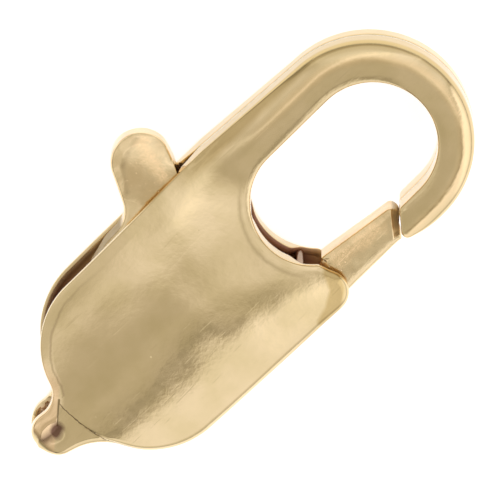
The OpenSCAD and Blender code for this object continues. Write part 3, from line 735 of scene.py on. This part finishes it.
def goldMaterial(name, finish, marks=None):
    # Cast and polished carat gold: a warm mirror with slow drifts of colour, fine grain, stray pits and hairlines,
    # and painted brown shade in the recesses, where it is rougher and less metallic. Its height is grain + dents -
    # pits - hairlines, less specks in the pale bands (wear and painted highlight), creases and lines
    material, mm, m = newMaterial(name)
    c = goldCommon
    run, times, between, blend = m.run, m.times, m.between, m.blend

    def attribute(key):
        return node(m.tree, "ShaderNodeAttribute", {"attribute_name": key}).outputs["Fac"]

    def noise(key, start=0, end=1):
        # a noise of goldCommon, from start to end over its range
        return between(m.noise(mm, *c[key + "Noise"]), *c[key + "Range"], start, end)

    recess = attribute("recess")
    tint = blend(noise("drift"), linear(finish["warm"]), linear(finish["cool"]))
    axes = node(m.tree, "ShaderNodeSeparateXYZ", {0: mm}).outputs
    x, y, z = (run("SUBTRACT", axes[i], float(shift[i])) for i in range(3))
    # painted shade in the recesses: a brown that is deeper in the tunnel and the hollow, mixed in by the recess mark
    deeper = run("MINIMUM", between(x, *c["hollowX"], 0, 1), between(x, *c["mouthX"], 1, c["mouthDeep"]))
    deeper = run("MAXIMUM", between(x, *c["tunnelX"], 0, 1), deeper)
    paintedRecessShade = blend(deeper, linear(finish["recessShade"]), linear(finish["deepRecessShade"]))
    tint = blend(between(recess, 0, 1, 0, c["recessShadeShare"]), tint, paintedRecessShade)
    rough = noise("rough", *finish["rough"])
    rough = run("MULTIPLY_ADD", recess, c["recessRough"], rough)
    along = node(m.tree, "ShaderNodeMapping", {
        "Rotation": (0, 0, c["hairTurn"]), "Scale": c["hairScale"], "Vector": mm})
    hairs = between(m.noise(along.outputs[0], *c["hairNoise"]), *c["hairRange"], 0, 1)
    cells = node(m.tree, "ShaderNodeTexVoronoi", {"Scale": finish["pitScale"], "Vector": mm})
    pits = between(cells.outputs["Distance"], finish["pitSize"], 0.0, 0, 1)
    pits = times(pits, noise("pit"))
    height = times(m.noise(mm, finish["grainScale"], 5), finish["grain"])
    height = run("MULTIPLY_ADD", m.noise(mm, finish["dentScale"], 1), finish["dent"], height)
    height = run("MULTIPLY_ADD", pits, -finish["pit"], height)
    height = run("MULTIPLY_ADD", hairs, -finish["hair"], height)
    wander = times(run("SUBTRACT", m.noise(mm, *c["wanderNoise"]), 0.5), c["wander"])

    def fromSegment(start, end):
        # distance from the line between two points
        length = float(np.hypot(end[0] - start[0], end[1] - start[1]))
        ux, uy = (end[0] - start[0]) / length, (end[1] - start[1]) / length
        dx, dy = run("SUBTRACT", x, start[0]), run("SUBTRACT", y, start[1])
        t = run("ADD", times(dx, ux), times(dy, uy))
        t = run("MINIMUM", run("MAXIMUM", t, 0.0), length)
        return m.hypot(run("SUBTRACT", dx, times(t, ux)), run("SUBTRACT", dy, times(t, uy)))

    def patch(row, edge, share=1.0):
        # a row of (start, end, wide, amount): amount at edge times wide and nearer to the line, and 0 from wide on
        start, end, wide, amount = row
        return between(run("ADD", fromSegment(start, end), times(wander, share)), wide, wide * edge, 0, amount)

    def onFaces(value, least):
        # the value where |z| is past least, on both faces
        return times(value, run("GREATER_THAN", run("ABSOLUTE", z), least))

    # pale bands: on the lever's tab and gate partly wear and partly painted highlight, on the hook's crown a painted
    # highlight
    wearAndHighlight = [patch(row, c["wearAndHighlightEdge"]) for row in finish.get("wearAndHighlight", [])]
    if "crown" in finish:
        # painted shade: the hook's outer round and the spine are painted a browner tan than the crown, and the lip
        # and low edge too
        crown = finish["crown"]
        ring = m.hypot(run("MAXIMUM", run("SUBTRACT", x, crown["x"]), 0.0), y)
        tan = finish["tan"]
        paintedEdgeShade = between(run("SUBTRACT", ring, times(y, tan["tilt"])), *tan["ring"], 0, tan["amount"])
        paintedEdgeShade = times(
            paintedEdgeShade, between(x, *tan["x"], 0, 1), between(z, *tan["z"], 0.35, 1), between(y, *tan["y"], 0.4, 1))
        for row in tan["rows"]:
            paintedEdgeShade = run("MAXIMUM", paintedEdgeShade, patch(row, c["tanEdge"], c["tanWander"]))
        tint = blend(paintedEdgeShade, tint, linear(tan["tint"]))
        # a thin painted shade line follows the mouth's rim on the plates, for a shoulder round the mouth
        line = finish["mouthLine"]
        rim = m.off(m.hypot(x, y), line["r"], times(wander, c["lineWander"]))
        ends = run("MINIMUM", between(x, *line["x"], 0, 1), between(y, *line["y"], 0, 1))
        rim = onFaces(times(between(rim, line["wide"], 0.0, 0, line["dark"]), ends), line["z"])
        tint = blend(rim, tint, linear(line["tint"]))
        # a painted highlight band along the hook's crown
        ring = run("ADD", m.off(ring, crown["r"]), times(wander, c["crownWander"]))
        wearAndHighlight.append(times(between(ring, crown["wide"], 0.0, 0, crown["amount"]), between(x, *crown["from"], 0, 1)))
    if wearAndHighlight:
        pale = wearAndHighlight[0]
        for other in wearAndHighlight[1:]:
            pale = run("MAXIMUM", pale, other)
        tint = blend(pale, tint, linear(finish["pale"]))
        if "speck" in finish:
            height = run("SUBTRACT", height, times(noise("speck", 0, finish["speck"]), pale))
    # painted shade along the tab's facet creases, over a slight groove
    for row in finish.get("creases", []):
        crease = onFaces(patch(row, 0.0, c["creaseWander"]), c["creaseZ"])
        tint = blend(crease, tint, linear(c["creaseShadeTint"]))
        height = run("MULTIPLY_ADD", crease, -c["creaseDepth"], height)
    if marks:
        # dark lines on both faces over shallow grooves: painted shade at the dome's foot on a circle and in the slit
        # between two points, a painted reflection line on the tab's side margin, and painted red-brown pocket shade
        # round a line between two points
        wobble = times(run("SUBTRACT", m.noise(mm, *marks["wobbleNoise"]), 0.5), marks["wobble"])
        away = m.hypot(run("SUBTRACT", x, bodySize["footX"]), run("SUBTRACT", y, bodySize["footY"]))
        foot = between(m.off(away, marks["footR"], wobble), marks["footWide"], 0.0, 0, 1)
        foot = times(foot, run("LESS_THAN", y, marks["footMostY"]), between(x, *marks["footX"], 0, 1))
        # painted shadow in the slit's gap
        slit = between(fromSegment(*marks["slit"]), marks["slitWide"], 0.0, 0, 1)
        margin = m.off(attribute("edgeAway"), marks["marginAt"], wobble)
        margin = times(
            between(margin, marks["marginWide"], 0.0, 0, marks["marginDark"]), between(x, *marks["marginX"], 0, 1),
            run("GREATER_THAN", y, marks["marginLeastY"]))
        lines = onFaces(run("MAXIMUM", run("MAXIMUM", foot, slit), margin), marks["faceZ"])
        height = run("MULTIPLY_ADD", lines, -marks["depth"], height)
        # painted light: the flank on the slit's outer side is painted paler
        (ax, ay), (bx, by) = marks["slit"]
        flank = run("SUBTRACT", times(run("SUBTRACT", y, ay), bx - ax), times(run("SUBTRACT", x, ax), by - ay))
        flank = times(
            between(flank, *marks["flankFrom"], 0, marks["flankPale"]), between(x, *marks["flankX"], 0, 1))
        tint = blend(onFaces(flank, marks["faceZ"]), tint, linear(marks["flankTint"]))
        # painted shade in the pocket over the eye, with a painted shade fading toward the nub's end
        away = run("ADD", fromSegment(*marks["pocket"]), wobble)
        pocket = times(between(away, marks["pocketWide"], 0.0, 0, 1), marks["pocketDark"])
        shade = between(fromSegment(*marks["shade"]), marks["shadeWide"], 0.0, 0, marks["shadeDark"])
        pocket = onFaces(run("MAXIMUM", run("MINIMUM", pocket, marks["pocketMost"]), shade), marks["faceZ"])
        tint = blend(pocket, tint, linear(marks["pocketShadeTint"]))
        # the painted shade and reflection lines are mixed into the tint here
        tint = blend(times(lines, marks["lineDark"]), tint, linear(marks["dark"]))
        rough = run("MULTIPLY_ADD", pocket, marks["pocketRough"], rough)
    metallic = between(recess, 0, 1, 1.0, c["recessMetal"])
    m.shader({"Base Color": tint, "Roughness": rough, "Metallic": metallic}, height)
    return material


# Heights in these finishes are in millimetres. Rows of tan (painted shade), of pale bands (wear and painted
# highlight) and of creases (painted shade) are start, end, wide and amount
polish = {
    "warm": "E8CFA0", "cool": "DFC795", "recessShade": "D6AC68", "deepRecessShade": "96583C", "rough": (0.06, 0.13),
    "grain": 0.0045, "grainScale": 3.2, "pit": 0.012, "pitScale": 1.3, "pitSize": 0.05, "hair": 0.001,
    "dent": 0.12, "dentScale": 0.28, "pale": "FFDDA6",
    # crown: a painted highlight band along the hook's crown
    "crown": {"x": 3.65, "r": 3.98, "wide": 0.3, "amount": 0.6, "from": (-0.5, 2.5)},
    # mouthLine: a painted shade line round the mouth
    "mouthLine": {
        "r": 3.33, "wide": 0.14, "dark": 0.32, "tint": "7A6434", "x": (-1.6, -2.4), "y": (-2.1, -1.3), "z": 1.0},
    # tan: painted shade on the hook's outer round, the spine, the lip and the low edge
    "tan": {
        "tint": "C2A66C", "amount": 0.65, "ring": (4.25, 4.5), "tilt": 0.032, "x": (-4.0, -1.5), "y": (-3.0, 0.0),
        "z": (-0.3, 0.2), "rows": [
            ((-1.80, -2.76), (-2.13, -3.47), 0.42, 0.8), ((-2.13, -3.47), (-2.91, -3.97), 0.42, 0.8),
            ((-2.91, -3.97), (-3.58, -4.14), 0.42, 0.8), ((-3.7, -4.3), (-10.2, -4.3), 0.3, 0.6)]},
}
satin = {
    "warm": "F1D8A8", "cool": "E6CA99", "recessShade": "967A3C", "deepRecessShade": "7A482E", "rough": (0.14, 0.24),
    "grain": 0.009, "grainScale": 5.0, "pit": 0.016, "pitScale": 4.5, "pitSize": 0.16, "hair": 0.003,
    "dent": 0.04, "dentScale": 0.5, "pale": "FFDEAA", "speck": 0.004,
    # pale bands on the tab and the gate: wear and painted highlight
    "wearAndHighlight": [((-3.6, 7.1), (-3.95, 5.5), 0.42, 0.9), ((-1.4, -2.65), (1.0, -2.9), 0.5, 0.9)],
    # creases: painted shade lines on the tab's facets
    "creases": [
        ((-3.52, 8.01), (-3.39, 7.61), 0.13, 0.23), ((-3.39, 7.61), (-3.00, 7.10), 0.13, 0.23),
        ((-3.00, 7.10), (-2.86, 6.52), 0.17, 0.27), ((-3.39, 7.61), (-3.50, 7.51), 0.13, 0.14),
        ((-3.50, 7.51), (-4.31, 7.31), 0.17, 0.11), ((-4.31, 7.31), (-4.85, 7.09), 0.19, 0.14),
        ((-4.85, 7.09), (-5.61, 6.09), 0.19, 0.14),
    ],
}
bodyMarks = {
    "faceZ": 1.1, "wobble": 0.3, "wobbleNoise": (1.2, 4), "depth": 0.012, "lineDark": 0.8, "dark": "5A3E20",
    "footR": 6.15, "footWide": 0.035, "footMostY": 1.6, "footX": (-13.3, -13.8), "marginX": (-8.5, -11.5),
    "marginLeastY": 1.7, "flankFrom": (-0.02, 0.1), "flankX": (-13.4, -14.0),
    "slit": ((-15.2, 0.96), (-14.3, 1.72)), "slitWide": 0.06, "flankTint": "F6D3A4", "flankPale": 0.8,
    "marginAt": 0.46, "marginWide": 0.09, "marginDark": 0.35, "pocket": ((-15.3, 0.83), (-15.55, 0.74)),
    "pocketWide": 0.36, "pocketDark": 1.5, "pocketMost": 0.92, "pocketShadeTint": "69473A", "pocketRough": 0.25,
    "shade": ((-15.5, 0.8), (-16.15, 0.86)), "shadeWide": 0.36, "shadeDark": 0.75,
}
gold = goldMaterial("polishedGold", polish, bodyMarks)
# painted shade: the stop post's gold is painted a darker brown for the hollow's shade it stands in; it is duller,
# with no pale bands or creases
shadedPostGold = goldMaterial("postShadedGold", dict(satin, warm="9A7346", cool="8A6640", wearAndHighlight=[], creases=[]))
paleGold = goldMaterial("satinGold", satin)

# Lengths are in millimetres from the clasp's middle
paperSize = {
    "near": "FAFAFA", "far": "B4B4B0", "farFrom": 30, "farTo": 110, "rough": 0.9, "glow": 0.58, "glowTint": "F2F7FF",
    "glowFull": 14, "glowEnd": 45,
}


def paperMaterial():
    # matt white paper with a soft pool of light from below under the clasp, as on a light table
    material, mm, m = newMaterial("whitePaper")
    s = paperSize
    away = node(m.tree, "ShaderNodeVectorMath", {"operation": "LENGTH", 0: mm}).outputs["Value"]
    glow = m.between(away, s["glowEnd"], s["glowFull"], 0, s["glow"], "SMOOTHSTEP")
    # painted shade: the paper turns greyer from farFrom to farTo, away from the pool of light under the clasp
    share = m.between(away, s["farFrom"], s["farTo"], 0, 1)
    m.shader({
        "Roughness": s["rough"], "Emission Color": linear(s["glowTint"]), "Emission Strength": glow,
        "Base Color": m.blend(share, linear(s["near"]), linear(s["far"]))})
    return material


floor.data.materials.append(paperMaterial())
pinSteel = {"tint": "B9B4AC", "rough": (0.22, 0.34), "grain": 0.003, "grainScale": 6.0}


def steelMaterial():
    # drawn steel wire for the hidden pin: a grey satin mirror with fine drawing lines along its length
    material, mm, m = newMaterial("pinSteel", (1000, 1000, 100))
    grain = m.noise(mm, pinSteel["grainScale"], 4.0, 0.5)
    rough = m.between(grain, 0, 1, *pinSteel["rough"])
    m.shader({"Metallic": 1.0, "Base Color": linear(pinSteel["tint"]), "Roughness": rough},
             m.times(grain, pinSteel["grain"]))
    return material


for thing in (bodyFront, bodyBack):
    thing.data.materials.append(gold)
for thing in lever:
    thing.data.materials.append(paleGold)
for name, material in (("pivot_pin", steelMaterial()), ("stop_post", shadedPostGold)):
    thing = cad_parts[name]
    thing.data.materials.clear()
    thing.data.materials.append(material)
print("materials set")

# Room: a soft light tent. Its brightness goes by direction: mid grey overhead, a large bright panel low on one
# side with a dark seam along its upper edge, and bright walls near the horizon
room = {
    "overhead": 0.6, "panel": 0.5, "panelStart": 0.33, "panelFull": 0.42, "seam": -0.2, "seamAt": 0.32,
    "seamWide": 0.028, "glow": 0.06, "glowAt": 0.19, "glowWide": 0.045, "strip": 0.24, "stripAt": 0.14,
    "stripWide": 0.07, "side": 0.3, "sideStart": -0.1, "sideFull": 0.1, "wall": -0.3, "wallStart": 0.42,
    "wallFull": 0.1, "crown": 0.17, "crownAt": 0.3, "crownWide": 0.3, "crownY": (-0.12, 0.05), "back": 0.12,
    "backStart": 0.6, "backFull": 0.95,
    "dimAt": 0.55, "litAt": 1.05, "dimTint": (1, 0.965, 0.87, 1), "litTint": (0.98, 0.99, 1.06, 1),
}


def buildRoom():
    world = bpy.data.worlds.new("room")
    bpy.context.scene.world = world
    world.use_nodes = True
    tree = world.node_tree
    tree.nodes.clear()
    m = Maths(tree)
    place = node(tree, "ShaderNodeTexCoord")
    x, y, z = node(tree, "ShaderNodeSeparateXYZ", {0: place.outputs["Generated"]}).outputs
    minusY = m.times(y, -1.0)

    def ramp(value, key):
        # a smooth rise between the key's start and full values
        return m.between(value, room[key + "Start"], room[key + "Full"], 0, room[key], "SMOOTHSTEP")

    def hump(value, key):
        # height exp(-((value - centre) / width)^2)
        off = m.run("DIVIDE", m.run("SUBTRACT", value, room[key + "At"]), room[key + "Wide"])
        return m.times(m.run("POWER", 2.718, m.times(off, off, -1.0)), room[key])

    parts = [
        ramp(minusY, "panel"), hump(minusY, "seam"), hump(minusY, "glow"), hump(y, "strip"), ramp(x, "side"),
        m.times(hump(m.run("ADD", x, y), "crown"), m.between(y, *room["crownY"], 0, 1, "SMOOTHSTEP")),
        ramp(m.run("SUBTRACT", y, x), "back"), ramp(z, "wall"),
    ]
    total = room["overhead"]
    for part in parts:
        total = m.run("ADD", part, total)
    # the dim parts of the tent are a little warmer than its lit panels
    share = m.between(total, room["dimAt"], room["litAt"], 0, 1)
    tint = m.blend(share, room["dimTint"], room["litTint"])
    light = node(tree, "ShaderNodeBackground", {"Color": tint, "Strength": total})
    node(tree, "ShaderNodeOutputWorld", {"Surface": light.outputs[0]})


buildRoom()
print("room built")
bpy.context.scene.view_settings.view_transform = "Standard"

sizeAtEnd = [list(corner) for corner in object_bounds()]
{"load": [list(map(float, c)) for c in sizeAtLoad], "end": [list(map(float, c)) for c in sizeAtEnd]}
